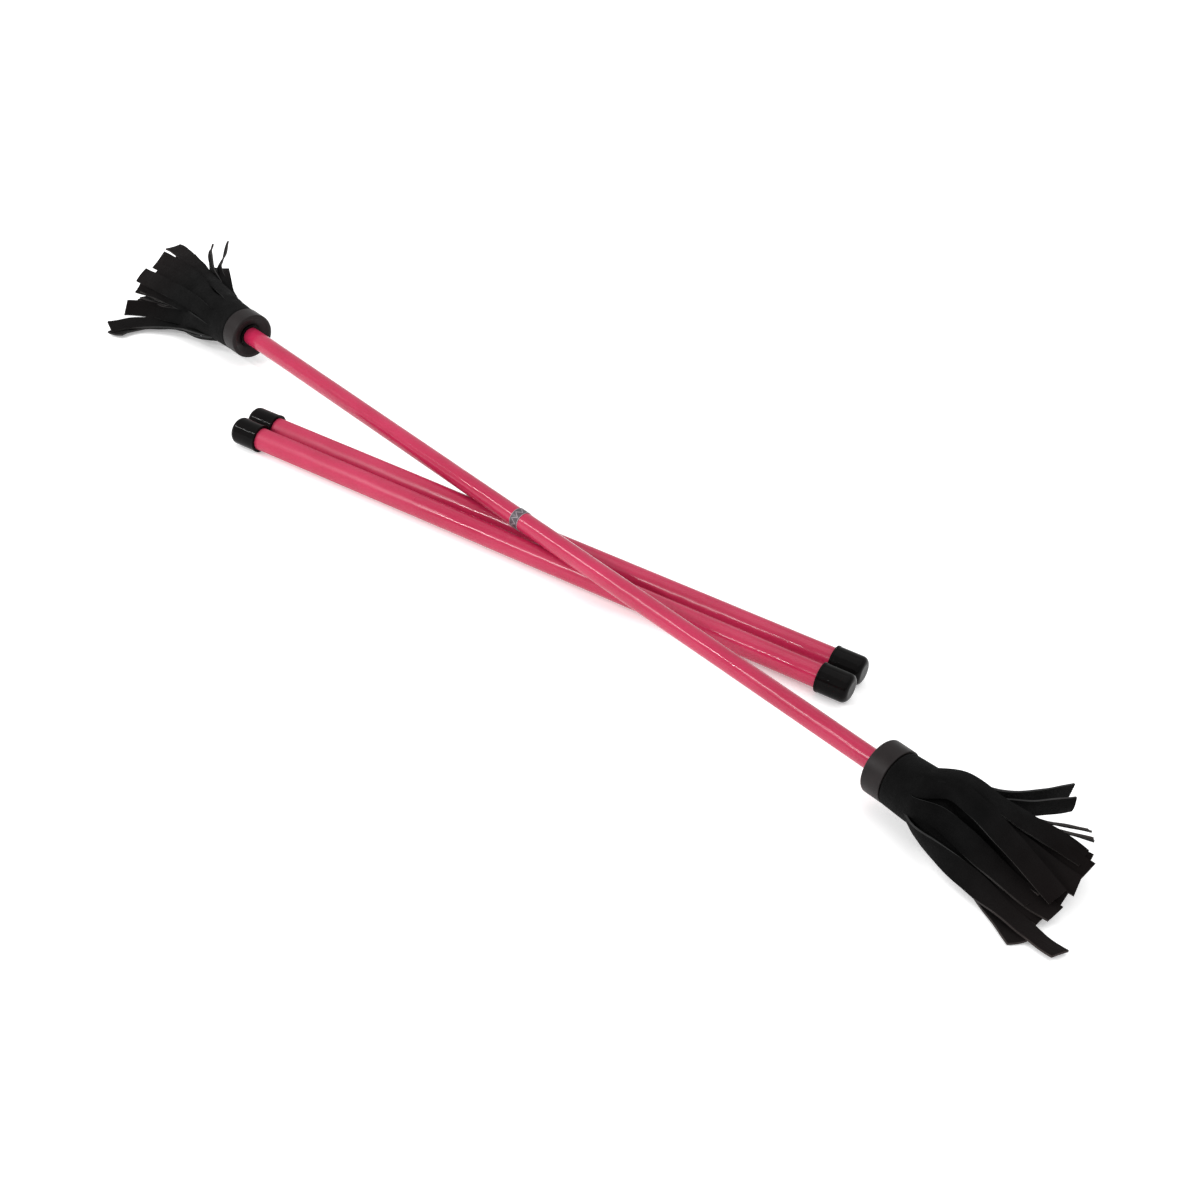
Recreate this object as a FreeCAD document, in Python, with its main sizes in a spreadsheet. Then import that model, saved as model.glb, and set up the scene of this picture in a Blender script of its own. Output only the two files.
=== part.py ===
import FreeCAD, Part
import math
import os
import Sketcher

# Juggling stick set: two hand sticks lie side by side on the floor and the tasselled centre
# stick lies level across them.  Millimetres, +Z up.  Every round piece is turned about its
# own X axis, with X = 0 at its stick-side or left-hand end, and then placed.

DIMENSIONS = [
    # alias, value, meaning
    ("hand_length", 450.0, "hand stick, cap tip to cap tip"),
    ("hand_core_dia", 9.5, "hand stick dowel"),
    ("hand_sleeve_dia", 14.6, "hand stick silicone sleeve, outside"),
    ("hand_cap_dia", 18.0, "hand stick vinyl cap, outside"),
    ("hand_cap_length", 20.0, "hand stick vinyl cap"),
    ("cap_floor", 2.2, "thickness of a cap's closed end"),
    ("cap_round", 4.0, "rounding of a cap's closed end"),
    ("bead_height", 0.25, "how far a cap's rolled rim stands proud"),
    ("bead_width", 1.4, "width of a cap's rolled rim"),
    ("bead_round", 0.2, "rounding of a cap's rolled rim"),
    ("core_inset", 1.0, "dowel end to sleeve end"),
    ("core_chamfer", 0.8, "chamfer on a dowel's ends"),
    ("centre_length", 594.5, "centre stick between its two collars"),
    ("centre_core_dia", 8.0, "centre stick dowel"),
    ("centre_sleeve_dia", 12.4, "centre stick silicone sleeve, outside"),
    ("sleeve_overrun", 20.0, "centre sleeve beyond a collar's outer edge"),
    ("band_width", 7.0, "wrap that marks the balance point"),
    ("band_thickness", 0.3, "wrap that marks the balance point"),
    ("end_cap_dia", 15.4, "centre stick vinyl cap, outside"),
    ("end_cap_mouth", 1.5, "collar's outer edge to the mouth of the vinyl cap"),
    ("tape_thickness", 0.7, "cloth tape wound on the vinyl cap"),
    ("tape_start", 6.2, "collar's outer edge to the tape"),
    ("tape_length", 13.0, "width of the tape winding"),
    ("collar_dia", 32.0, "collar, outside"),
    ("collar_length", 13.0, "collar"),
    ("collar_wall", 1.5, "collar's cylindrical wall"),
    ("collar_web", 2.2, "collar's end web"),
    ("collar_dish", 3.0, "depth of the dished end face"),
    ("collar_lip", 2.4, "flat ring around the dished end face"),
    ("collar_hole_dia", 16.0, "hole around the vinyl cap"),
    ("collar_round", 1.2, "rounding of the collar's outer edge"),
    ("suede_clear", 0.1, "clearance around a suede layer"),
    ("root_start", 6.0, "collar's outer edge to the rolled root of the suede"),
    ("root_layer", 3.0, "thickness of one rolled layer at the root"),
    ("bulge", 0.8, "swelling of the suede where it leaves the collar"),
    ("bulge_end", 17.0, "collar's outer edge to the full swelling"),
    ("fringe_mid", 62.0, "collar's outer edge to the middle section"),
    ("fringe_reach", 142.0, "collar's outer edge to the strip ends"),
    ("hollow_overrun", 1.0, "how far a hollow runs past the ends of what it is taken out of"),
    ("left_mid_spread", 37.0, "left tassel, middle section, half width"),
    ("left_mid_rise", 15.5, "left tassel, middle section, half height"),
    ("left_mid_drop", 3.0, "left tassel, middle section, below the stick"),
    ("left_mid_lean", 0.0, "left tassel, middle section, to its left side"),
    ("left_tip_spread", 62.0, "left tassel, strip ends, half width"),
    ("left_tip_rise", 16.0, "left tassel, strip ends, half height"),
    ("left_tip_drop", 5.5, "left tassel, strip ends, below the stick"),
    ("left_tip_lean", 0.0, "left tassel, strip ends, to its left side"),
    ("right_mid_spread", 35.0, "right tassel, middle section, half width"),
    ("right_mid_rise", 13.0, "right tassel, middle section, half height"),
    ("right_mid_drop", 7.0, "right tassel, middle section, below the stick"),
    ("right_mid_lean", 8.0, "right tassel, middle section, to its left side"),
    ("right_tip_spread", 54.0, "right tassel, strip ends, half width"),
    ("right_tip_rise", 8.5, "right tassel, strip ends, half height"),
    ("right_tip_drop", 13.0, "right tassel, strip ends, below the stick"),
    ("right_tip_lean", 12.0, "right tassel, strip ends, to its left side"),
    ("pair_gap", 0.3, "between the hand sticks where their left caps meet"),
    ("rear_splay", 0.4, "degrees by which the rear hand stick opens away"),
    ("rear_shift", -2.3, "rear hand stick along the pair"),
    ("cross_angle", 16.9, "degrees between the centre stick and the hand sticks"),
    ("cross_shift", -9.3, "centre stick's middle along the front hand stick"),
    ("cross_offset", 9.4, "centre stick's middle behind the front hand stick"),
    ("rest_gap", 0.15, "centre stick above the hand sticks"),
]

ENDS = ("left", "right")

doc = FreeCAD.newDocument("juggling_stick_set")
sheet = doc.addObject("Spreadsheet::Sheet", "dims")
for row, (alias, value, meaning) in enumerate(DIMENSIONS, start=1):
    sheet.set("A%d" % row, meaning)
    sheet.set("B%d" % row, str(value))
    sheet.setAlias("B%d" % row, alias)
doc.recompute()


def size(expression):
    """The value of an expression that is written with the sheet's aliases."""
    return float(sheet.evalExpression(expression))


def origin_plane(body, role):
    """One of a body's own base planes."""
    return [plane for plane in body.Origin.OriginFeatures if plane.Role == role][0]


def bind_corner(sketch, line, kind, expression, value):
    """Tie one coordinate of a line's start point to an expression, or to an axis if it is 0."""
    if expression == "0":
        axis = {"DistanceX": -2, "DistanceY": -1}[kind]
        sketch.addConstraint(Sketcher.Constraint("PointOnObject", line, 1, axis))
        return
    index = sketch.addConstraint(Sketcher.Constraint(kind, -1, 1, line, 1, value))
    name = "%s_%d" % (kind, line)
    sketch.renameConstraint(index, name)
    sketch.setExpression("Constraints." + name, expression)


def turned(label, corners):
    """A body turned about its X axis from a closed outline of (along, radius) expressions."""
    body = doc.addObject("PartDesign::Body", label)
    body.Label = label
    sketch = body.newObject("Sketcher::SketchObject", label + "_outline")
    sketch.AttachmentSupport = [(origin_plane(body, "XY_Plane"), "")]
    sketch.MapMode = "FlatFace"
    points = [FreeCAD.Vector(size(along), size(radius), 0) for along, radius in corners]
    for start, end in zip(points, points[1:] + points[:1]):
        sketch.addGeometry(Part.LineSegment(start, end))
    for line in range(len(corners)):
        follower = (line + 1) % len(corners)
        sketch.addConstraint(Sketcher.Constraint("Coincident", line, 2, follower, 1))
    for line, (along, radius) in enumerate(corners):
        bind_corner(sketch, line, "DistanceX", along, points[line].x)
        bind_corner(sketch, line, "DistanceY", radius, points[line].y)
    revolution = body.newObject("PartDesign::Revolution", label + "_turned")
    revolution.Profile = sketch
    revolution.ReferenceAxis = (sketch, ["H_Axis"])
    revolution.Angle = 360.0
    doc.recompute()
    return body


def dress(body, kind, along, radius, setting, amount):
    """Fillet or chamfer the circular edge of a body at a place along it and a radius."""
    base = body.Tip
    place, ring = size(along), size(radius)
    names = []
    for number, edge in enumerate(base.Shape.Edges, start=1):
        if not isinstance(edge.Curve, Part.Circle):
            continue
        same_place = abs(edge.Curve.Center.x - place) < 1e-4
        if same_place and abs(edge.Curve.Radius - ring) < 1e-4:
            names.append("Edge%d" % number)
    if len(names) != 1:
        raise RuntimeError("%s has no single edge at %s, %s" % (body.Label, along, radius))
    feature = body.newObject("PartDesign::" + kind, "%s_%s_%s" % (body.Label, kind, names[0]))
    feature.Base = (base, names)
    feature.setExpression(setting, amount)
    doc.recompute()


def dowel(label, length, radius):
    """A wooden core with chamfered ends."""
    body = turned(label, [("0", "0"), ("0", radius), (length, radius), (length, "0")])
    dress(body, "Chamfer", "0", radius, "Size", "dims.core_chamfer")
    dress(body, "Chamfer", length, radius, "Size", "dims.core_chamfer")
    return body


def tube(label, length, inside, outside):
    """A plain tube, such as a sleeve, a band or a tape winding."""
    return turned(label, [("0", inside), ("0", outside), (length, outside), (length, inside)])


def vinyl_cap(label, length, inside, outside):
    """A dip-moulded cap: open at X = 0 with a rolled rim, closed and rounded at its far end."""
    rim = outside + " + dims.bead_height"
    depth = length + " - dims.cap_floor"
    body = turned(label, [
        ("0", inside), ("0", rim), ("dims.bead_width", rim), ("dims.bead_width", outside),
        (length, outside), (length, "0"), (depth, "0"), (depth, inside)])
    dress(body, "Fillet", length, outside, "Radius", "dims.cap_round")
    dress(body, "Fillet", "0", rim, "Radius", "dims.bead_round")
    dress(body, "Fillet", "dims.bead_width", rim, "Radius", "dims.bead_round")
    return body


def collar(label):
    """The ring that clamps a tassel: a short cylinder with a dished end web and a hole."""
    outside = "dims.collar_dia / 2"
    inside = outside + " - dims.collar_wall"
    hole = "dims.collar_hole_dia / 2"
    lip = outside + " - dims.collar_lip"
    body = turned(label, [
        ("0", lip), ("0", outside), ("dims.collar_length", outside),
        ("dims.collar_length", inside), ("dims.collar_web", inside),
        ("dims.collar_dish + dims.collar_web", hole), ("dims.collar_dish", hole)])
    dress(body, "Fillet", "0", outside, "Radius", "dims.collar_round")
    dress(body, "Fillet", "dims.collar_length", outside, "Radius", "dims.bead_round * 2")
    return body


def section(name, along, spread, rise, drop, lean):
    """An upright ellipse across the stick: long axis level, placed below and beside the axis."""
    ellipse = doc.addObject("Part::Ellipse", name)
    ellipse.Placement = FreeCAD.Placement(
        FreeCAD.Vector(), FreeCAD.Rotation(FreeCAD.Vector(1, 1, 1), 120))
    ellipse.setExpression("MajorRadius", spread)
    ellipse.setExpression("MinorRadius", rise)
    ellipse.setExpression("Placement.Base.x", along)
    ellipse.setExpression("Placement.Base.y", lean)
    ellipse.setExpression("Placement.Base.z", "-(%s)" % drop)
    return ellipse


def flare(name, end, inset, overrun):
    """What fills a tassel, inset from its outside: a round root, then flat, drooping tips."""
    root = "dims.collar_dia / 2 - dims.collar_wall - dims.suede_clear - (%s)" % inset
    swollen = root + " + dims.bulge"
    rows = [
        ("dims.root_start - (%s)" % overrun, root, root, "0", "0"),
        ("dims.collar_length", root, root, "0", "0"),
        ("dims.bulge_end", swollen, swollen, "0", "0"),
    ]
    stations = [("mid", "dims.fringe_mid"), ("tip", "dims.fringe_reach")]
    if overrun != "0":
        stations.append(("tip", "dims.fringe_reach + (%s)" % overrun))
    for station, along in stations:
        prefix = "dims.%s_%s_" % (end, station)
        spread = "%sspread - (%s)" % (prefix, inset)
        rise = "%srise - (%s)" % (prefix, inset)
        rows.append((along, spread, rise, prefix + "drop", prefix + "lean"))
    loft = doc.addObject("Part::Loft", name)
    loft.Sections = [section("%s_%d" % (name, i), *row) for i, row in enumerate(rows)]
    loft.Solid = True
    loft.Ruled = True
    return loft


def hollowed(label, solid, hollow):
    """One solid with another taken out of it."""
    cut = doc.addObject("Part::Cut", label)
    cut.Label = label
    cut.Base = solid
    cut.Tool = hollow
    return cut


def outer_fringe(end):
    """The outer suede layer: a thin flared shell around the inner one."""
    solid = flare("outer_flare_" + end, end, "0", "0")
    hollow = flare("outer_hollow_" + end, end, "dims.root_layer", "dims.hollow_overrun")
    return hollowed("fringe_outer_" + end, solid, hollow)


def inner_fringe(end):
    """The inner suede layers: a flared bundle around the taped end of the stick."""
    solid = flare("inner_flare_" + end, end, "dims.root_layer + dims.suede_clear", "0")
    bore = doc.addObject("Part::Cylinder", "inner_bore_" + end)
    bore.Placement = FreeCAD.Placement(
        FreeCAD.Vector(), FreeCAD.Rotation(FreeCAD.Vector(0, 1, 0), 90))
    bore.setExpression("Radius", "dims.end_cap_dia / 2 + dims.tape_thickness + dims.suede_clear")
    bore.setExpression("Height", "dims.end_cap_mouth + dims.sleeve_overrun + 2 * dims.cap_floor")
    return hollowed("fringe_inner_" + end, solid, bore)


def place(piece, along, frame):
    """Put a piece at a distance along a frame's X axis."""
    piece.Placement = frame.multiply(
        FreeCAD.Placement(FreeCAD.Vector(along, 0, 0), FreeCAD.Rotation()))
    return piece


def turned_about(axis, degrees, middle):
    """A frame at a point, turned about an axis."""
    return FreeCAD.Placement(middle, FreeCAD.Rotation(axis, degrees))


UP = FreeCAD.Vector(0, 0, 1)
HALF_TURN = turned_about(UP, 180, FreeCAD.Vector())


def hand_stick(side, frame):
    """Dowel, sleeve and two caps, about the middle of the stick."""
    core_radius = "dims.hand_core_dia / 2"
    sleeve_radius = "dims.hand_sleeve_dia / 2"
    sleeve_length = "dims.hand_length - 2 * dims.cap_floor"
    core_length = sleeve_length + " - 2 * dims.core_inset"
    core = dowel("hand_core_" + side, core_length, core_radius)
    sleeve = tube("hand_sleeve_" + side, sleeve_length, core_radius, sleeve_radius)
    pieces = [place(core, -size(core_length) / 2, frame), place(sleeve, -size(sleeve_length) / 2, frame)]
    mouth = size("dims.hand_length / 2 - dims.hand_cap_length")
    for end, direction in (("left", HALF_TURN), ("right", FreeCAD.Placement())):
        name = "hand_cap_%s_%s" % (side, end)
        cap = vinyl_cap(name, "dims.hand_cap_length", sleeve_radius, "dims.hand_cap_dia / 2")
        pieces.append(place(cap, mouth, frame.multiply(direction)))
    return pieces


def tassel(end, frame):
    """Vinyl cap, tape, two suede layers and collar; the frame's X axis points outwards."""
    cap_radius = "dims.end_cap_dia / 2"
    cap_length = "dims.sleeve_overrun + dims.cap_floor - dims.end_cap_mouth"
    cap = vinyl_cap("end_cap_" + end, cap_length, "dims.centre_sleeve_dia / 2", cap_radius)
    tape = tube("binding_tape_" + end, "dims.tape_length", cap_radius,
                cap_radius + " + dims.tape_thickness")
    return [
        place(cap, size("dims.end_cap_mouth"), frame),
        place(tape, size("dims.tape_start"), frame),
        place(inner_fringe(end), 0, frame),
        place(outer_fringe(end), 0, frame),
        place(collar("collar_" + end), 0, frame),
    ]


def centre_stick(frame):
    """Dowel, sleeve, balance-point band and a tassel at each end."""
    core_radius = "dims.centre_core_dia / 2"
    sleeve_radius = "dims.centre_sleeve_dia / 2"
    sleeve_length = "dims.centre_length + 2 * dims.sleeve_overrun"
    core_length = sleeve_length + " - 2 * dims.core_inset"
    core = dowel("centre_core", core_length, core_radius)
    sleeve = tube("centre_sleeve", sleeve_length, core_radius, sleeve_radius)
    band = tube("centre_band", "dims.band_width", sleeve_radius,
                sleeve_radius + " + dims.band_thickness")
    pieces = [
        place(core, -size(core_length) / 2, frame),
        place(sleeve, -size(sleeve_length) / 2, frame),
        place(band, -size("dims.band_width") / 2, frame),
    ]
    to_collar = FreeCAD.Placement(FreeCAD.Vector(size("dims.centre_length") / 2, 0, 0), FreeCAD.Rotation())
    for end, direction in zip(ENDS, (HALF_TURN, FreeCAD.Placement())):
        pieces += tassel(end, frame.multiply(direction).multiply(to_collar))
    return pieces


def build_set():
    """Place the three sticks as they lie: caps on the floor, centre stick level on top."""
    hand_height = size("dims.hand_cap_dia / 2 + dims.bead_height")
    splay = size("dims.rear_splay")
    opening = size("dims.hand_length") / 2 * math.tan(math.radians(splay))
    rear_offset = 2 * hand_height + size("dims.pair_gap") + opening
    centre_height = hand_height + size(
        "dims.hand_sleeve_dia / 2 + dims.centre_sleeve_dia / 2 + dims.rest_gap")
    front = turned_about(UP, 0, FreeCAD.Vector(0, 0, hand_height))
    rear = turned_about(UP, splay, FreeCAD.Vector(size("dims.rear_shift"), rear_offset, hand_height))
    middle = FreeCAD.Vector(size("dims.cross_shift"), size("dims.cross_offset"), centre_height)
    centre = turned_about(UP, -size("dims.cross_angle"), middle)
    return hand_stick("front", front) + hand_stick("rear", rear) + centre_stick(centre)


def centre_over_origin(pieces):
    """Move the whole set so that the middle of its footprint is the origin, at floor level."""
    box = FreeCAD.BoundBox()
    for piece in pieces:
        box.add(piece.Shape.optimalBoundingBox())
    shift = FreeCAD.Placement(
        FreeCAD.Vector(-box.Center.x, -box.Center.y, -box.ZMin), FreeCAD.Rotation())
    for piece in pieces:
        piece.Placement = shift.multiply(piece.Placement)


def check(pieces):
    """Stop if any object failed or any piece isn't one sound solid."""
    for item in doc.Objects:
        if "Invalid" in item.State or "Error" in item.State:
            raise RuntimeError("%s failed: %s" % (item.Name, item.State))
    for piece in pieces:
        shape = piece.Shape
        if shape.isNull() or not shape.isValid() or len(shape.Solids) != 1:
            raise RuntimeError("%s is not one valid solid" % piece.Label)


set_pieces = build_set()
doc.recompute()
centre_over_origin(set_pieces)
doc.recompute()
check(set_pieces)
os.makedirs("parts", exist_ok=True)
for set_piece in set_pieces:
    set_piece.Shape.exportStep("parts/%s.step" % set_piece.Label)
    print("%-20s %10.1f mm3" % (set_piece.Label, set_piece.Shape.Volume))
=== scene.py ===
"""Juggling flower-stick set: a tasselled centre stick lying across two plain hand sticks.

The hard pieces are the CAD nodes with their materials. The two suede tassels are made here,
each as two fringed sheets wound round the stick's end and held by its collar.
Lengths of the tassels are written in millimetres and turned into metres by MM.
"""
import math
import random

import bmesh
import bpy
from mathutils import Matrix, Vector, noise


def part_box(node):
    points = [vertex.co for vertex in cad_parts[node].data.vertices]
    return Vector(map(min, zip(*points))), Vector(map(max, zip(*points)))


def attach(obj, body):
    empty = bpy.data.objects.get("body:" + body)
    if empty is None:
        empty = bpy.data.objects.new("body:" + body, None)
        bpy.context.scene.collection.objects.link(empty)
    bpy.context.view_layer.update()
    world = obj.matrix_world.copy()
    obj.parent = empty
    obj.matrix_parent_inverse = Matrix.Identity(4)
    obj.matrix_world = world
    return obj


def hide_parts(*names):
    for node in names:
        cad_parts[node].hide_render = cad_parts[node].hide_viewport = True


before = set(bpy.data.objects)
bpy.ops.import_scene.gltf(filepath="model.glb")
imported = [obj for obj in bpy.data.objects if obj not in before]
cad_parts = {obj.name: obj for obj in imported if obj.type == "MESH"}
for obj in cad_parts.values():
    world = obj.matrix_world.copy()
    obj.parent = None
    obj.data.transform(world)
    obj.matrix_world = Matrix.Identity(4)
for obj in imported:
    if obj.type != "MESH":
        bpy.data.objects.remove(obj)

MM = 0.001
UP = Vector((0, 0, 1))
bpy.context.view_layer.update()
STICK_BODY = "centre_stick"


# ---------------------------------------------------------------- places read from the frame

def middle(node):
    """Centre of a CAD node's box."""
    low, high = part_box(node)
    return (low + high) / 2


def size(node):
    """Lengths of a CAD node's box."""
    low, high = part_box(node)
    return high - low


def stick_axis(left_node, right_node):
    """Direction of a stick, from its left end piece to its right one."""
    return (middle(right_node) - middle(left_node)).normalized()


def round_length(node, axis):
    """Length of a round piece that lies level along an axis, from its box."""
    across = size(node).z * abs(axis.y)
    return (size(node).x - across) / abs(axis.x)


CENTRE_AXIS = stick_axis("collar_left", "collar_right")
FRONT_AXIS = stick_axis("hand_cap_front_left", "hand_cap_front_right")
REAR_AXIS = stick_axis("hand_cap_rear_left", "hand_cap_rear_right")
COLLAR_RADIUS = size("collar_left").z / 2 / MM
COLLAR_LENGTH = round_length("collar_left", CENTRE_AXIS) / MM
AXIS_HEIGHT = middle("collar_left").z / MM


# ---------------------------------------------------------------- materials

DULL_TO = -0.11             # a handled sleeve is dull as far as here, in metres from its middle,
GLOSSY_FROM = -0.04         # and as glossy as the others from here on
DULLNESS = 0.3              # what being handled adds to its roughness
FADED_FROM = 0.365          # the suede starts to fade this far from the middle of the stick,
FADED_BY = 0.425            # and is most faded here, both in metres
ZIGZAGS = 9                 # teeth of the line round the band
TAPE_THREAD = 0.0008        # spacing of the tape's threads, in metres
TAPE_THREADS_ROUND = 64


class Paint:
    """A Principled material and short calls for the nodes that feed it."""

    def __init__(self, name, **constants):
        self.material = bpy.data.materials.new(name)
        self.material.use_nodes = True
        self.tree = self.material.node_tree
        self.shader = self.tree.nodes["Principled BSDF"]
        for socket, value in constants.items():
            self.shader.inputs[socket.replace("_", " ")].default_value = value

    def add(self, kind, inputs=None, **settings):
        """A node of that kind; inputs are numbers, colours or other nodes' outputs."""
        node = self.tree.nodes.new(kind)
        for name, value in settings.items():
            setattr(node, name, value)
        for name, value in (inputs or {}).items():
            self.feed(node.inputs[name], value)
        return node

    def feed(self, socket, value):
        """Links or sets one input of a node."""
        if isinstance(value, bpy.types.NodeSocket):
            self.tree.links.new(value, socket)
        else:
            socket.default_value = value

    def drive(self, socket, output):
        """Links an output to one of the shader's own sockets."""
        self.tree.links.new(output, self.shader.inputs[socket])

    def place(self, centre=(0, 0, 0), yaw=0.0, stretch=(1, 1, 1)):
        """Coordinates in metres with X along a stick that lies at that centre and yaw."""
        where = self.add("ShaderNodeTexCoord").outputs["Object"]
        moved = self.add("ShaderNodeVectorMath", {0: where, 1: centre}, operation="SUBTRACT")
        spin = {"Vector": moved.outputs[0], "Angle": -yaw}
        turned = self.add("ShaderNodeVectorRotate", spin, rotation_type="Z_AXIS")
        scaling = {0: turned.outputs[0], 1: stretch}
        return self.add("ShaderNodeVectorMath", scaling, operation="MULTIPLY").outputs[0]

    def noise(self, vector, scale, detail=3.0, roughness=0.5):
        """Noise from 0 to 1, with that many lumps to a metre."""
        values = {"Vector": vector, "Scale": scale, "Detail": detail, "Roughness": roughness}
        return self.add("ShaderNodeTexNoise", values).outputs["Fac"]

    def maths(self, operation, *values):
        """The result of one sum on numbers or other nodes' outputs."""
        return self.add("ShaderNodeMath", dict(enumerate(values)), operation=operation).outputs[0]

    def mix(self, first, share, second):
        """Weighted mean of two values, with that share of the first."""
        weighted = self.maths("MULTIPLY", first, share)
        rest = self.maths("MULTIPLY", second, 1 - share)
        return self.maths("ADD", weighted, rest)

    def part(self, vector, letter):
        """One of the X, Y and Z parts of a vector."""
        return self.add("ShaderNodeSeparateXYZ", {0: vector}).outputs[letter]

    def span(self, value, low, high, new_low, new_high):
        """Maps low..high of a value to new_low..new_high, and no further."""
        inputs = {"Value": value, "From Min": low, "From Max": high}
        inputs.update({"To Min": new_low, "To Max": new_high})
        return self.add("ShaderNodeMapRange", inputs).outputs[0]

    def blend(self, factor, first, second):
        """Colour that goes from first to second as the factor goes from 0 to 1."""
        node = self.add("ShaderNodeMix", data_type="RGBA")
        colours = [socket for socket in node.inputs if socket.type == "RGBA"]
        self.feed(node.inputs[0], factor)
        self.feed(colours[0], first)
        self.feed(colours[1], second)
        return [socket for socket in node.outputs if socket.type == "RGBA"][0]

    def relief(self, *layers):
        """Bump nodes in a chain; each layer is a height output and its depth in metres."""
        normal = None
        for height, depth in layers:
            inputs = {"Height": height, "Distance": depth, "Strength": 1.0}
            if normal is not None:
                inputs["Normal"] = normal
            normal = self.add("ShaderNodeBump", inputs).outputs[0]
        self.drive("Normal", normal)


def grey(value):
    """A grey as an opaque colour."""
    return (value, value, value, 1.0)


def yaw_of(axis):
    """Turn about the vertical from X to an axis that lies level."""
    return math.atan2(axis.y, axis.x)


def silicone(name, centre, axis, handled):
    """Pink tubing: glossy and a little uneven, so that highlights waver; duller where it is handled."""
    paint = Paint(name, IOR=1.41, Subsurface_Weight=0.12, Subsurface_Scale=0.0012)
    paint.shader.inputs["Subsurface Radius"].default_value = (1.0, 0.35, 0.35)
    along = paint.place(centre, yaw_of(axis), (0.35, 1, 1))
    plain = paint.place(centre, yaw_of(axis))
    clouds = paint.noise(along, 60, 4)
    mottle = paint.noise(plain, 900, 3)
    deep = (0.345, 0.012, 0.048, 1)
    light = (0.455, 0.025, 0.080, 1)
    mixed = paint.mix(clouds, 0.7, mottle)
    paint.drive("Base Color", paint.blend(paint.span(mixed, 0.3, 0.7, 0, 1), deep, light))
    haze = paint.noise(along, 38, 3)
    shine = paint.span(haze, 0.35, 0.68, 0.07, 0.26)
    if handled:
        dull = paint.span(paint.part(plain, "X"), DULL_TO, GLOSSY_FROM, DULLNESS, 0)
        shine = paint.maths("ADD", shine, dull)
    paint.drive("Roughness", shine)
    waves = paint.noise(paint.place(centre, yaw_of(axis), (0.5, 1, 1)), 90, 2)
    paint.relief((waves, 0.0005), (paint.noise(plain, 2500, 2), 0.00001))
    return paint.material


def vinyl(name):
    """Dipped black vinyl: a wet gloss with faint smears."""
    paint = Paint(name, IOR=1.5, Specular_IOR_Level=0.05)
    plain = paint.place()
    smears = paint.noise(plain, 160, 4)
    paint.drive("Base Color", paint.blend(smears, grey(0.0025), (0.006, 0.0052, 0.0052, 1)))
    paint.drive("Roughness", paint.span(smears, 0.3, 0.7, 0.03, 0.10))
    paint.relief((paint.noise(plain, 420, 2), 0.00008))
    return paint.material


def collar_rubber(name, centre, axis):
    """Satin black rubber with a fine moulded grain and faint rings round its axis."""
    paint = Paint(name, IOR=1.5, Specular_IOR_Level=0.14)
    plain = paint.place(centre, yaw_of(axis))
    patches = paint.noise(plain, 120, 4)
    dark = (0.007, 0.0055, 0.0055, 1)
    light = (0.019, 0.0150, 0.0150, 1)
    paint.drive("Base Color", paint.blend(patches, dark, light))
    paint.drive("Roughness", paint.span(patches, 0.3, 0.7, 0.38, 0.52))
    wave = {"Vector": plain, "Scale": 260.0, "Distortion": 1.5, "Detail": 2.0}
    rings = paint.add("ShaderNodeTexWave", wave)
    paint.relief((rings.outputs["Fac"], 0.000003), (paint.noise(plain, 3000, 2), 0.00003))
    return paint.material


def suede(name, flesh):
    """Black suede: a matte nap of short fibres, lighter where a cut edge shows the flesh."""
    paint = Paint(name, IOR=1.45, Specular_IOR_Level=0.06, Sheen_Weight=0.015, Sheen_Roughness=0.6)
    plain = paint.place()
    nap = paint.noise(plain, 1500, 5, 0.7)
    patches = paint.noise(plain, 70, 4)
    dark = grey(0.018) if flesh else grey(0.0008)
    light = grey(0.045) if flesh else grey(0.0050)
    mixed = paint.mix(nap, 0.5, patches)
    fresh = paint.blend(paint.span(mixed, 0.35, 0.65, 0, 1), dark, light)
    from_middle = paint.maths("ABSOLUTE", paint.part(paint.place(yaw=yaw_of(CENTRE_AXIS)), "X"))
    worn = paint.span(from_middle, FADED_FROM, FADED_BY, 0, 0.8)
    faded = (0.042, 0.032, 0.030, 1) if flesh else (0.0070, 0.0047, 0.0045, 1)
    paint.drive("Base Color", paint.blend(worn, fresh, faded))
    paint.drive("Roughness", paint.span(nap, 0.3, 0.7, 0.85, 1.0))
    paint.relief((nap, 0.00035), (paint.noise(plain, 260, 3), 0.0004))
    return paint.material


def printed_band(name, centre, axis, half_width):
    """Grey foil band round the middle of the stick, with a plain zigzag between two rim lines."""
    paint = Paint(name, IOR=1.5)
    plain = paint.place(centre, yaw_of(axis))
    along = paint.part(plain, "X")
    angle = paint.maths("ARCTAN2", paint.part(plain, "Z"), paint.part(plain, "Y"))
    turns = paint.maths("MULTIPLY", angle, ZIGZAGS / (2 * math.pi))
    teeth = paint.maths("PINGPONG", turns, 0.5)
    line = paint.maths("MULTIPLY", paint.maths("SUBTRACT", teeth, 0.25), 4 * 0.55 * half_width)
    from_line = paint.maths("ABSOLUTE", paint.maths("SUBTRACT", along, line))
    from_middle = paint.maths("ABSOLUTE", along)
    stroke = paint.span(from_line, 0.06 * half_width, 0.15 * half_width, 1, 0)
    rim = paint.span(from_middle, 0.88 * half_width, 0.95 * half_width, 0, 1)
    marks = paint.maths("MAXIMUM", stroke, rim)
    worn = paint.maths("MULTIPLY", marks, paint.span(paint.noise(plain, 1200, 3), 0.3, 0.6, 0.55, 1))
    paint.drive("Base Color", paint.blend(worn, (0.060, 0.045, 0.055, 1), (0.36, 0.31, 0.34, 1)))
    paint.drive("Roughness", paint.span(paint.noise(plain, 500, 2), 0.3, 0.7, 0.3, 0.5))
    paint.relief((marks, 0.00003))
    return paint.material


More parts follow.
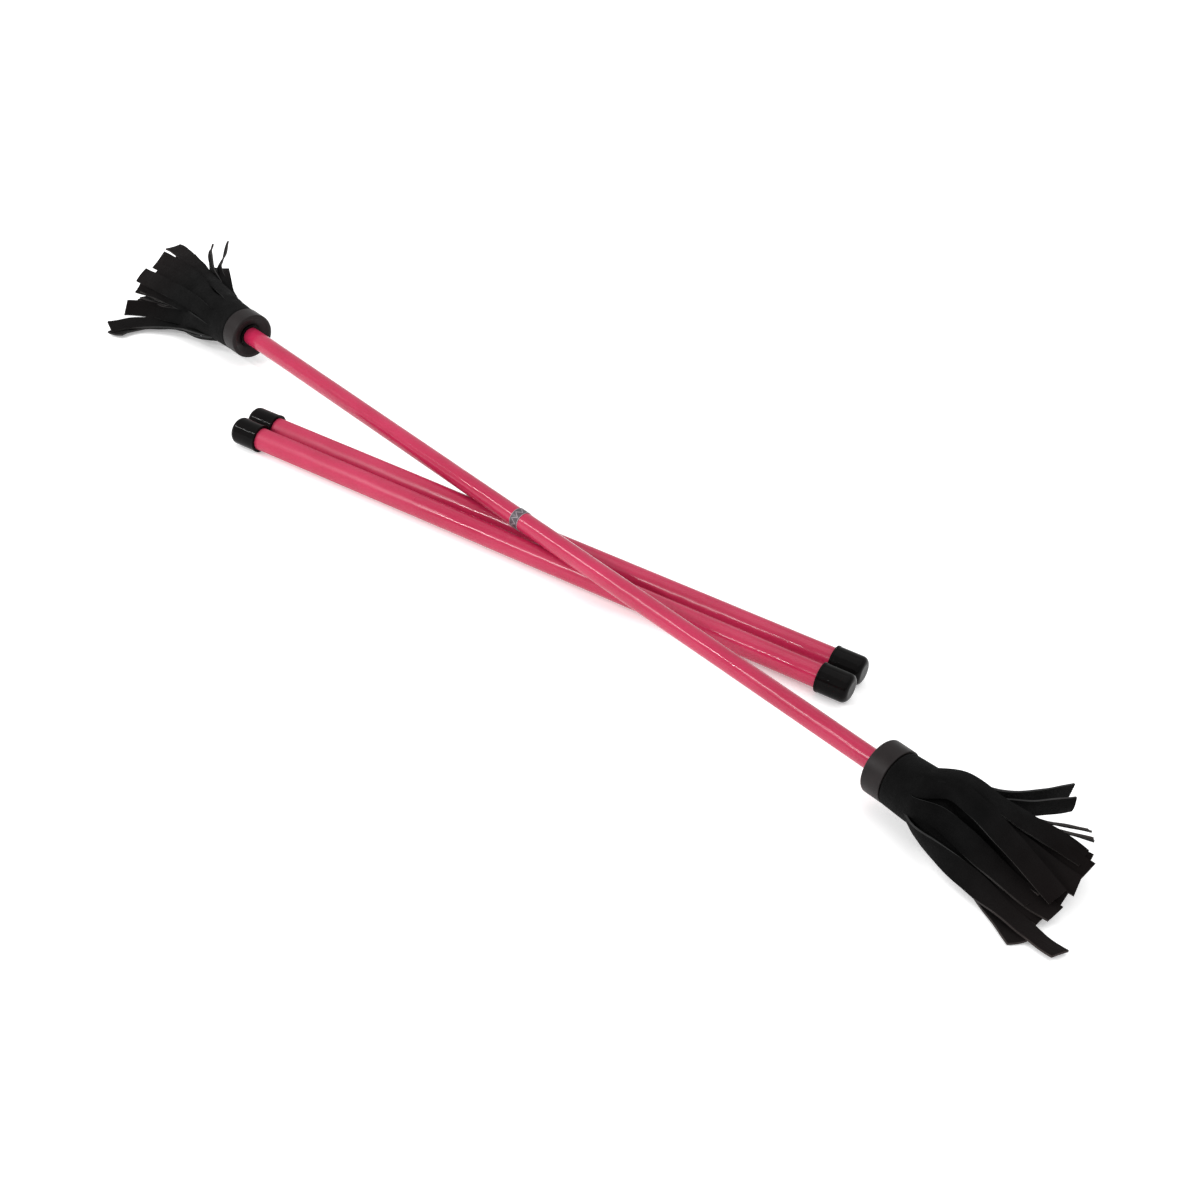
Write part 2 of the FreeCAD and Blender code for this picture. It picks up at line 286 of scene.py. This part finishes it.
def dowel_wood(name, centre, axis):
    """Pale dowel with long grain."""
    paint = Paint(name, IOR=1.45)
    grain = paint.noise(paint.place(centre, yaw_of(axis), (0.03, 1, 1)), 900, 5, 0.6)
    paint.drive("Base Color", paint.blend(grain, (0.40, 0.25, 0.13, 1), (0.64, 0.46, 0.27, 1)))
    paint.drive("Roughness", paint.span(grain, 0.3, 0.7, 0.5, 0.7))
    paint.relief((grain, 0.0001))
    return paint.material


def cloth_tape(name, centre, axis):
    """Black cloth tape with a plain weave."""
    paint = Paint(name, IOR=1.45)
    plain = paint.place(centre, yaw_of(axis))
    angle = paint.maths("ARCTAN2", paint.part(plain, "Z"), paint.part(plain, "Y"))
    threads = paint.maths("MULTIPLY", paint.part(plain, "X"), 2 * math.pi / TAPE_THREAD)
    warp = paint.maths("SINE", threads)
    weft = paint.maths("SINE", paint.maths("MULTIPLY", angle, TAPE_THREADS_ROUND))
    weave = paint.maths("MULTIPLY", warp, weft)
    paint.drive("Base Color", paint.blend(paint.span(weave, -1, 1, 0, 1), grey(0.008), grey(0.022)))
    paint.drive("Roughness", paint.span(weave, -1, 1, 0.9, 0.7))
    paint.relief((weave, 0.0001))
    return paint.material


def paper_white():
    """Pale studio floor with the faintest unevenness."""
    paint = Paint("studio_floor", Roughness=0.9)
    tone = paint.noise(paint.place(), 3, 2)
    paint.drive("Base Color", paint.blend(tone, grey(0.90), grey(0.93)))
    paint.shader.inputs["Emission Color"].default_value = grey(1.0)
    paint.shader.inputs["Emission Strength"].default_value = 0.32
    return paint.material


def finish_node(node, material):
    """Gives a CAD node one material."""
    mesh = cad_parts[node].data
    mesh.materials.clear()
    mesh.materials.append(material)


def finish_hand_stick(which, axis):
    """Materials of a hand stick's core, sleeve and two caps."""
    centre = middle(f"hand_sleeve_{which}")
    finish_node(f"hand_core_{which}", dowel_wood(f"dowel_wood_{which}", centre, axis))
    finish_node(f"hand_sleeve_{which}", silicone(f"pink_silicone_{which}", centre, axis, True))
    for side in ("left", "right"):
        finish_node(f"hand_cap_{which}_{side}", BLACK_VINYL)


def finish_centre_stick():
    """Materials of the centre stick's hard pieces."""
    centre = middle("centre_sleeve")
    half_width = round_length("centre_band", CENTRE_AXIS) / 2
    finish_node("centre_core", dowel_wood("dowel_wood_centre", centre, CENTRE_AXIS))
    finish_node("centre_sleeve", silicone("pink_silicone_centre", centre, CENTRE_AXIS, False))
    finish_node("centre_band", printed_band("band_foil", centre, CENTRE_AXIS, half_width))
    for side in ("left", "right"):
        collar = middle(f"collar_{side}")
        finish_node(f"end_cap_{side}", BLACK_VINYL)
        finish_node(f"binding_tape_{side}", cloth_tape(f"cloth_tape_{side}", collar, CENTRE_AXIS))
        finish_node(f"collar_{side}", collar_rubber(f"collar_rubber_{side}", collar, CENTRE_AXIS))


# ---------------------------------------------------------------- tassels

SUEDE = 1.2                 # thickness of the suede
PITCH = SUEDE + 0.05        # one turn's step in radius
COLLAR_WALL = 1.5
COLLAR_GAP = 0.2            # left free between the collar and the suede
OUTER_TURN = COLLAR_RADIUS - COLLAR_WALL - COLLAR_GAP - SUEDE / 2
SWELL = 0.14                # the roll swells by this share where it leaves the collar
SPREAD = 0.05               # and by this share more on its way to the cuts
FLARE = 0.30                # outward slope of the strips where the cuts start
EDGE_BULGE = 1.5            # the roll has swollen this far beyond the collar's edge

# Rows of the uncut root, outward from the collar's stick-side face: the suede starts inside the
# collar, and the cuts start at the last row.
ROOT_ROWS = (6, 10, 12.8, 13.3, 13.8, 14.4, 15.5, 17.5, 20, 23, 26, 28.5, 31)
CUT_START = ROOT_ROWS[-1]
FREE_ROWS = 44              # rows of a strip beyond the cuts
COLUMNS = 8                 # faces across a strip
SHARES = [column / COLUMNS for column in range(COLUMNS + 1)]
CURVE_STEPS = 24            # points of a smooth curve between two of its given points
WELD = 0.01                 # points of neighbouring strips this close are one point
SHARP = math.radians(50)    # edges that turn by more than this look sharp

STRIP_WIDTH = 11.3          # before a strip spreads or narrows towards its tip
HIDDEN_WIDTH = STRIP_WIDTH - 1            # of a hidden strip's tip
STRIPS_OUTER = 15           # strips of the outer sheet, about 1.8 turns
STRIPS_INNER = 12           # strips of the inner sheet, about 1.7 turns

# Winding length and depth of each sheet laid flat, in metres. The strips are drawn to the photo and
# not cut from these sheets: the depths were fitted to the finished meshes' areas.
OUTER_FLAT = (STRIPS_OUTER * STRIP_WIDTH * MM, 0.123)
INNER_FLAT = (STRIPS_INNER * STRIP_WIDTH * MM, 0.113)

TURNED_BY = 0.75            # by this share of its free length a strip has turned to its tip's lean
FLAT_BY = 0.6               # and by this share it has lost the roll's curve
SLANT_FROM = 0.8            # from this share on its end runs aslant
RIPPLE = 1.1                # height of the slow ripples of the suede
RIPPLE_LENGTH = 14.0
LOWEST = SUEDE / 2 + 0.1    # middle of a strip that lies on the floor

OUTER_END = {"right": 275, "left": 279}   # where round the stick the outer sheet ends, in degrees
WINDS = {"right": -1, "left": 1}          # which way the sheets wind inward from there

# Strips listed one by one, by their number from the sheet's outer end: the width at the tip, how far
# the tip leans over (degrees, 0 lying flat with its outer face up) and the points that its middle
# passes.
# A point is (out from the collar's face, to the left looking outward, above the floor).
RIGHT_STRIPS = {
    0: (11, 185, [(41, -6, 5), (56, -6, 3.5), (78, -11, 2.6), (98, -18, 1.6), (119, -27, 1.2)]),
    1: (12, 0, [(42, -18.5, 13.5), (60, -18.5, 11.5), (83, -16.5, 7.5), (109, -17, 3.6),
                (137, -16.5, 2)]),
    2: (13, 14, [(48, -11, 25), (63, -7, 20), (83, -5, 14), (103, -2, 9), (119, 2, 6)]),
    3: (12.5, 20, [(45, 0, 36.5), (60, 3.5, 33), (79, 4.5, 27), (99, 5.5, 19.5), (115, 7, 12)]),
    4: (12, 17, [(44, 11, 38.3), (60, 15, 34.3), (76, 23, 28), (92, 32, 22.5), (107, 37, 18.5)]),
    5: (11, -90, [(42, 20.5, 31), (50, 29, 26), (58, 41, 22.5), (63, 57, 20.5), (68, 77, 19)]),
    6: (11, -80, [(43, 20, 22), (57, 33, 20), (69, 50, 20), (78, 66, 22)]),
    7: (11, -175, [(53, 10, 6), (80, 16, 3), (107, 20, 1.4)]),
    8: (11, 175, [(53, 4, 5), (80, 5, 3), (112, 6, 1.6)]),
    9: (12, 180, [(53, -7, 10), (82, -4, 5), (114, -6, 2.4)]),
    10: (12, 8, [(53, -11, 17), (83, -8, 10), (116, -3, 4)]),
    11: (12, 22, [(51, 7, 31), (78, 13, 22), (99, 18, 16), (116, 22, 13)]),
    12: (12, 38, [(51, 14, 29), (73, 22, 23), (95, 29, 18), (113, 33, 15)]),
    13: (10, -39, [(51, 20, 27), (69, 30, 23.5), (85, 41, 23), (99, 50, 24.5)]),
    14: (10, -39, [(51, 19, 21), (69, 29, 19.5), (87, 40, 21), (104, 47, 23.3)]),
    18: (11, 178, [(53, -6, 12), (80, -2, 6), (104, 0, 3)]),
    19: (12, 22, [(51, 4, 26), (78, 7, 17), (116, 12, 8.5)]),
    20: (12, 38, [(51, 14, 28), (78, 26, 21), (110, 38, 15.5)]),
}
LEFT_STRIPS = {
    0: (11, 178, [(37, 11, 7.5), (48, 15, 5.5), (64, 14, 4), (79, 23, 3), (86, 40, 2.4), (82, 61, 2)]),
    1: (12, -40, [(45, 19, 19), (63, 18, 16), (80, 22, 13), (95, 28, 11), (105, 39, 10)]),
    2: (12, -45, [(45, 17, 31), (69, 17, 31), (93, 19, 30), (118, 19, 27)]),
    3: (15, -45, [(44, 9, 37), (69, 5, 38), (93, 3, 37), (123, 1.5, 34)]),
    4: (12, -10, [(44, -6, 38), (78, -8, 38.5), (98, -11, 39), (116, -15, 39), (134, -17, 37)]),
    5: (8, -72, [(53, -17, 29), (69, -20, 31), (86, -26, 34), (98, -37, 39), (112, -49, 42)]),
    6: (13, 180, [(53, -18, 18), (78, -28, 19), (98, -38, 20), (119, -49, 20)]),
    7: (11, -180, [(53, -6, 6), (83, -8, 3), (110, -12, 1.4)]),
    8: (12, 165, [(45, 14, 11), (63, 17, 9), (77, 27, 7.5), (87, 42, 5.5), (91, 60, 4)]),
    9: (12, -30, [(51, 17, 14), (68, 18, 9), (84, 20, 6)]),
    10: (12, -45, [(51, 15, 27), (69, 17, 26), (91, 19, 24), (114, 23, 21)]),
    11: (13, -40, [(51, 9, 34), (74, 9, 34), (94, 9, 33), (112, 9, 31)]),
    12: (12, -10, [(51, -8, 35), (78, -11, 35), (98, -15, 36), (115, -18, 37)]),
    13: (7, -72, [(53, -14, 27), (69, -17, 29), (85, -21, 34), (99, -28, 40), (109, -35, 43)]),
    18: (12, -40, [(51, 13, 28), (78, 13, 27), (111, 14, 26)]),
    19: (12, -20, [(51, 3, 33), (78, -2, 34.5), (117, -6, 35)]),
}

# How the strips that have no place of their own fan out inside: where the middle of the fan's end is
# (to the left, above the floor), its half spread and half height, how far it reaches and varies.
RIGHT_FAN = {"left": 13, "height": 7, "spread": 24, "rise": 5, "reach": 110, "vary": 6}
LEFT_FAN = {"left": 6, "height": 17, "spread": 22, "rise": 11, "reach": 114, "vary": 6}


def smooth(value):
    """Smooth step from 0 to 1."""
    value = min(1.0, max(0.0, value))
    return value * value * (3 - 2 * value)


def tassel_frame(side):
    """Matrix from a tassel's own frame, X outward from the collar's stick-side face, to the model's."""
    outward = CENTRE_AXIS if side == "right" else -CENTRE_AXIS
    left = UP.cross(outward)
    face = middle(f"collar_{side}") - outward * COLLAR_LENGTH / 2 * MM
    turn = Matrix((outward, left, UP)).transposed().to_4x4()
    return Matrix.Translation((face.x, face.y, 0)) @ turn @ Matrix.Scale(MM, 4)


def roots(first_angle, direction):
    """Start angle, end angle, start radius and end radius of each strip's root, wound inward."""
    angle, radius = first_angle, OUTER_TURN
    for _ in range(STRIPS_OUTER + STRIPS_INNER):
        step = math.degrees(STRIP_WIDTH / (radius * swell(CUT_START)))
        yield angle, angle + direction * step, radius, radius - PITCH * step / 360
        angle += direction * step
        radius -= PITCH * step / 360


def swell(along):
    """How many times wider the roll is at that distance than inside the collar."""
    at_edge = smooth((along - COLLAR_LENGTH) / EDGE_BULGE)
    beyond = smooth((along - COLLAR_LENGTH) / (CUT_START - COLLAR_LENGTH))
    return 1 + SWELL * at_edge + SPREAD * beyond


def ring_point(angle, radius, along):
    """Point of the wound suede, at that angle round the stick and that far from the collar's face."""
    turn = math.radians(angle)
    reach = radius * swell(along)
    return Vector((along, reach * math.cos(turn), AXIS_HEIGHT + reach * math.sin(turn)))


def curve_through(points, start):
    """Points evenly spaced along a smooth curve through the given ones, leaving in direction start."""
    tangents = [start]
    for before, after in zip(points, points[2:]):
        tangents.append((after - before).normalized())
    last = (points[-1] - points[-2]).normalized()
    tangents.append((2 * last - tangents[-1]).normalized())
    dense = []
    for k in range(len(points) - 1):
        reach = (points[k + 1] - points[k]).length / 3
        first = points[k] + tangents[k] * reach
        second = points[k + 1] - tangents[k + 1] * reach
        for step in range(CURVE_STEPS):
            t = step / CURVE_STEPS
            s = 1 - t
            dense.append(s ** 3 * points[k] + 3 * s * s * t * first
                         + 3 * s * t * t * second + t ** 3 * points[k + 1])
    dense.append(points[-1])
    return respaced(dense, FREE_ROWS)


def respaced(points, count):
    """The same line with count + 1 evenly spaced points."""
    travelled = [0.0]
    for before, after in zip(points, points[1:]):
        travelled.append(travelled[-1] + (after - before).length)
    spaced, k = [], 0
    for step in range(count + 1):
        goal = travelled[-1] * step / count
        while k < len(points) - 2 and travelled[k + 1] < goal:
            k += 1
        share = (goal - travelled[k]) / (travelled[k + 1] - travelled[k])
        spaced.append(points[k].lerp(points[k + 1], min(1.0, share)))
    return spaced


def root_lean(angle):
    """Lean of a strip at its root, where its outer face looks straight out from the stick."""
    turn = math.radians(angle)
    return math.degrees(math.atan2(-math.cos(turn), math.sin(turn)))


def nearest_turn(lean, reference):
    """The same lean, written within half a turn of the reference."""
    return reference + (lean - reference + 180) % 360 - 180


def strip_line(root, points):
    """Middle line of a strip from the cuts to its tip."""
    start_angle, end_angle, start_radius, end_radius = root
    mid_angle = (start_angle + end_angle) / 2
    turn = math.radians(mid_angle)
    exit_point = ring_point(mid_angle, (start_radius + end_radius) / 2, CUT_START)
    exit_way = Vector((1, FLARE * math.cos(turn), FLARE * math.sin(turn))).normalized()
    return curve_through([exit_point] + [Vector(point) for point in points], exit_way)


def root_rows(root):
    """Rows of points of a strip's root, from inside the collar to the cuts."""
    start_angle, end_angle, start_radius, end_radius = root
    for along in ROOT_ROWS:
        yield [ring_point(start_angle + (end_angle - start_angle) * share,
                          start_radius + (end_radius - start_radius) * share, along)
               for share in SHARES]


def outer_way(tangent, turned):
    """Direction of a strip's outer face, turned over from lying flat by that angle round its line."""
    up = (UP - tangent * tangent.z).normalized()
    across = tangent.cross(up)
    return math.cos(turned) * up + math.sin(turned) * across


def cross_row(root, width, wobble, out):
    """Offsets of the points across a strip: sideways, outward and along it.

    out is how far the row is on the way from the cuts, 0, to the tip, 1.
    """
    start_angle, end_angle, start_radius, end_radius = root
    half_step = math.radians(end_angle - start_angle) / 2
    radius = (start_radius + end_radius) / 2 * swell(CUT_START)
    flatness = smooth(out / FLAT_BY)
    for share in SHARES:
        bend = half_step * (2 * share - 1)
        place = math.copysign(2 * share - 1, bend)
        ring_side = radius * math.sin(bend)
        ring_rise = radius * (math.cos(bend) - 1)
        side = ring_side + (width / 2 * place - ring_side) * flatness
        rise = ring_rise * (1 - flatness) - wobble["cup"] * place * place * smooth(out)
        yield side, rise, wobble["slant"] * place * smooth((out - SLANT_FROM) / (1 - SLANT_FROM))


def free_rows(root, width, lean, points, wobble):
    """Rows of points of a strip beyond the cuts: the roll's curve turns into a flat, rippled strip."""
    line = strip_line(root, points)
    first_lean = root_lean((root[0] + root[1]) / 2)
    last_lean = nearest_turn(lean, first_lean)
    for row in range(1, FREE_ROWS + 1):
        out = row / FREE_ROWS
        tangent = (line[min(row + 1, FREE_ROWS)] - line[row - 1]).normalized()
        twist = wobble["twist"] * math.sin(math.pi * out * wobble["waves"]) * out
        turned = math.radians(first_lean + (last_lean - first_lean) * smooth(out / TURNED_BY)) + twist
        normal = outer_way(tangent, turned)
        sideways = tangent.cross(normal)
        cells = []
        for side, rise, slant in cross_row(root, width, wobble, out):
            point = line[row] + sideways * side + normal * rise + tangent * slant
            ripple = noise.noise(point / RIPPLE_LENGTH + wobble["seed"]) * RIPPLE * smooth(out * 2)
            cells.append(point + normal * ripple)
        yield cells


def fan_tip(fan, root, rng):
    """Points of a hidden strip, half way and at the end of its own place in the fan."""
    start_angle, end_angle, radius, _ = root
    turn = math.radians((start_angle + end_angle) / 2)
    depth = radius / OUTER_TURN
    reach = fan["reach"] - fan["vary"] * rng.random()
    spread = fan["spread"] * math.cos(turn) * (0.85 + 0.3 * rng.random())
    rise = fan["rise"] * math.sin(turn)
    tip = Vector((reach, fan["left"] + depth * spread, fan["height"] + depth * rise))
    half = Vector((tip.x * 0.6, tip.y * 0.55, AXIS_HEIGHT * 0.45 + tip.z * 0.55))
    return [half, tip]


def tassel_sheet(name, side, strips, grids):
    """One fringed sheet as a mesh: the strips are joined at their roots and free beyond the cuts."""
    mesh = bmesh.new()
    to_model = tassel_frame(side)
    for n in strips:
        rows = []
        for cells in grids[n]:
            above_floor = [Vector((p.x, p.y, max(p.z, LOWEST))) for p in cells]
            rows.append([mesh.verts.new(to_model @ p) for p in above_floor])
        for lower, upper in zip(rows, rows[1:]):
            for k in range(COLUMNS):
                mesh.faces.new((lower[k], lower[k + 1], upper[k + 1], upper[k]))
    bmesh.ops.remove_doubles(mesh, verts=mesh.verts, dist=WELD * MM)
    bmesh.ops.recalc_face_normals(mesh, faces=mesh.faces)
    data = bpy.data.meshes.new(name)
    mesh.to_mesh(data)
    mesh.free()
    data.materials.append(BLACK_SUEDE)
    data.materials.append(SUEDE_EDGE)
    sheet = bpy.data.objects.new(name, data)
    bpy.context.scene.collection.objects.link(sheet)
    thicken(sheet)
    return sheet


def thicken(sheet):
    """Gives the sheet its thickness, with the cut edges in their own material, and applies it."""
    solid = sheet.modifiers.new("thickness", "SOLIDIFY")
    solid.thickness = SUEDE * MM
    solid.offset = 0
    solid.material_offset_rim = 1
    evaluated = sheet.evaluated_get(bpy.context.evaluated_depsgraph_get())
    data = bpy.data.meshes.new_from_object(evaluated)
    sheet.modifiers.clear()
    sheet.data = data
    data.shade_smooth()
    data.set_sharp_from_angle(angle=SHARP)


def uneven(rng):
    """How one strip strays from its smooth shape."""
    return {"twist": math.radians(rng.uniform(-7, 7)), "waves": rng.uniform(1.5, 3),
            "cup": rng.uniform(-0.6, 0.9), "slant": rng.uniform(-1.2, 1.2),
            "seed": Vector((rng.random(), rng.random(), rng.random())) * 50}


def make_tassel(side, table, fan, seed):
    """Two wound sheets: the outer one from its outer end inward, and the inner one inside it."""
    rng = random.Random(seed)
    grids = []
    for n, root in enumerate(roots(OUTER_END[side], WINDS[side])):
        wobble = uneven(rng)
        spare = fan_tip(fan, root, rng)
        is_above = math.sin(math.radians((root[0] + root[1]) / 2)) > 0
        hidden = (HIDDEN_WIDTH, 0 if is_above else 180, spare)
        width, lean, points = table.get(n, hidden)
        grids.append(list(root_rows(root)) + list(free_rows(root, width, lean, points, wobble)))
    outer = tassel_sheet(f"suede_fringe_outer_{side}", side, range(STRIPS_OUTER), grids)
    inner = tassel_sheet(f"suede_fringe_inner_{side}", side, range(STRIPS_OUTER, len(grids)), grids)
    for piece, node, flat in ((outer, "fringe_outer", OUTER_FLAT), (inner, "fringe_inner", INNER_FLAT)):
        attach(piece, STICK_BODY)
        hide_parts(f"{node}_{side}")


# ---------------------------------------------------------------- stage

FLOOR_REACH = 6.0
FLOOR_DROP = 0.0002                    # keeps the floor just clear of the caps that rest on it
WORLD_STRENGTH = 0.78
OVERHEAD_FROM = Vector((0.15, 0.1, 1))
OVERHEAD_STRENGTH = 0.8
OVERHEAD_SPREAD = 70                   # degrees
STRIP_DISTANCE = 1.3
STRIP_DEPTH = 0.035
STRIP_POWER = 6
GLEAM_CENTRE = (0.0, 0.27)             # the long highlight on the centre stick, from the band
GLEAM_HAND = (-0.08, 0.18)             # and those on the hand sticks, from where they are crossed
VIEW_AZIMUTH = math.radians(27.14)     # turn of the view from straight along +Y
VIEW_DOWN = math.radians(30.47)        # how far the camera looks down
VIEW_ROLL = math.radians(8.67)
VIEW_TARGET = Vector((0.068, -0.022, 0.0))
VIEW_DISTANCE = 1.2015
LENS = 60.0                            # with the sensor's width, the photo's angle of view
SENSOR = 36.0


def placed(location, x_axis, y_axis, z_axis):
    """Matrix of an object that stands at a place with its axes along three directions."""
    turn = Matrix((x_axis, y_axis, z_axis)).transposed().to_4x4()
    return Matrix.Translation(location) @ turn


def area_light(name, location, target, width, depth, power, along):
    """A rectangular light aimed at a point, with its width along a direction."""
    data = bpy.data.lights.new(name, "AREA")
    data.shape = "RECTANGLE"
    data.size = width
    data.size_y = depth
    data.energy = power
    light = bpy.data.objects.new(name, data)
    bpy.context.scene.collection.objects.link(light)
    back = (location - target).normalized()
    x_axis = (along - back * along.dot(back)).normalized()
    y_axis = back.cross(x_axis)
    light.matrix_world = placed(location, x_axis, y_axis, back)


def sky_light(name, towards, strength, spread):
    """Even soft light from a wide patch of sky, spread degrees across."""
    data = bpy.data.lights.new(name, "SUN")
    data.energy = strength
    data.angle = math.radians(spread)
    light = bpy.data.objects.new(name, data)
    light.rotation_euler = towards.to_track_quat("Z", "Y").to_euler()
    bpy.context.scene.collection.objects.link(light)


def strip_light(name, aim, axis, gleam):
    """A long narrow light whose mirror image in a tube along the axis is the gleam.

    The gleam runs from a start to an end, in metres along the axis from the aim.
    """
    view = camera_place() - aim
    camera_along = view.dot(axis)
    across = view - axis * camera_along
    reach = STRIP_DISTANCE / across.length
    low, high = (at + (at - camera_along) * reach for at in gleam)
    location = aim + across.normalized() * STRIP_DISTANCE + axis * (low + high) / 2
    target = aim + axis * sum(gleam) / 2
    area_light(name, location, target, high - low, STRIP_DEPTH, STRIP_POWER, axis)


def make_floor():
    """A wide pale floor just under the set."""
    mesh = bpy.data.meshes.new("floor")
    corners = [(x * FLOOR_REACH, y * FLOOR_REACH, 0) for x, y in ((-1, -1), (1, -1), (1, 1), (-1, 1))]
    mesh.from_pydata(corners, [], [(0, 1, 2, 3)])
    mesh.materials.append(paper_white())
    floor = bpy.data.objects.new("floor", mesh)
    floor.location.z = -FLOOR_DROP
    bpy.context.scene.collection.objects.link(floor)


def make_lights():
    """An even pale room, a soft light overhead and a narrow one for each long highlight."""
    world = bpy.data.worlds.new("studio")
    world.use_nodes = True
    background = world.node_tree.nodes["Background"]
    background.inputs["Color"].default_value = grey(1.0)
    background.inputs["Strength"].default_value = WORLD_STRENGTH
    bpy.context.scene.world = world
    sky_light("overhead", OVERHEAD_FROM, OVERHEAD_STRENGTH, OVERHEAD_SPREAD)
    aim = middle("centre_band")
    strip_light("strip_centre", aim, CENTRE_AXIS, GLEAM_CENTRE)
    strip_light("strip_hand", aim, FRONT_AXIS, GLEAM_HAND)


def camera_place():
    """Where the camera stands."""
    back = Vector((math.sin(VIEW_AZIMUTH) * math.cos(VIEW_DOWN),
                   -math.cos(VIEW_AZIMUTH) * math.cos(VIEW_DOWN),
                   math.sin(VIEW_DOWN)))
    return VIEW_TARGET + back * VIEW_DISTANCE


def make_camera():
    """The camera at the photo's viewing angle, rolled a little."""
    data = bpy.data.cameras.new("camera")
    data.lens = LENS
    data.sensor_width = SENSOR
    camera = bpy.data.objects.new("camera", data)
    bpy.context.scene.collection.objects.link(camera)
    location = camera_place()
    back = (location - VIEW_TARGET).normalized()
    level_right = UP.cross(back).normalized()
    level_up = back.cross(level_right)
    right = math.cos(VIEW_ROLL) * level_right + math.sin(VIEW_ROLL) * level_up
    up = back.cross(right)
    camera.matrix_world = placed(location, right, up, back)
    bpy.context.scene.camera = camera


# ---------------------------------------------------------------- the scene

BLACK_VINYL = vinyl("black_vinyl")
BLACK_SUEDE = suede("black_suede", flesh=False)
SUEDE_EDGE = suede("suede_cut_edge", flesh=True)

make_camera()
make_floor()
make_lights()
finish_hand_stick("front", FRONT_AXIS)
finish_hand_stick("rear", REAR_AXIS)
finish_centre_stick()
make_tassel("right", RIGHT_STRIPS, RIGHT_FAN, seed=11)
make_tassel("left", LEFT_STRIPS, LEFT_FAN, seed=23)

bpy.context.scene.view_settings.view_transform = "Standard"
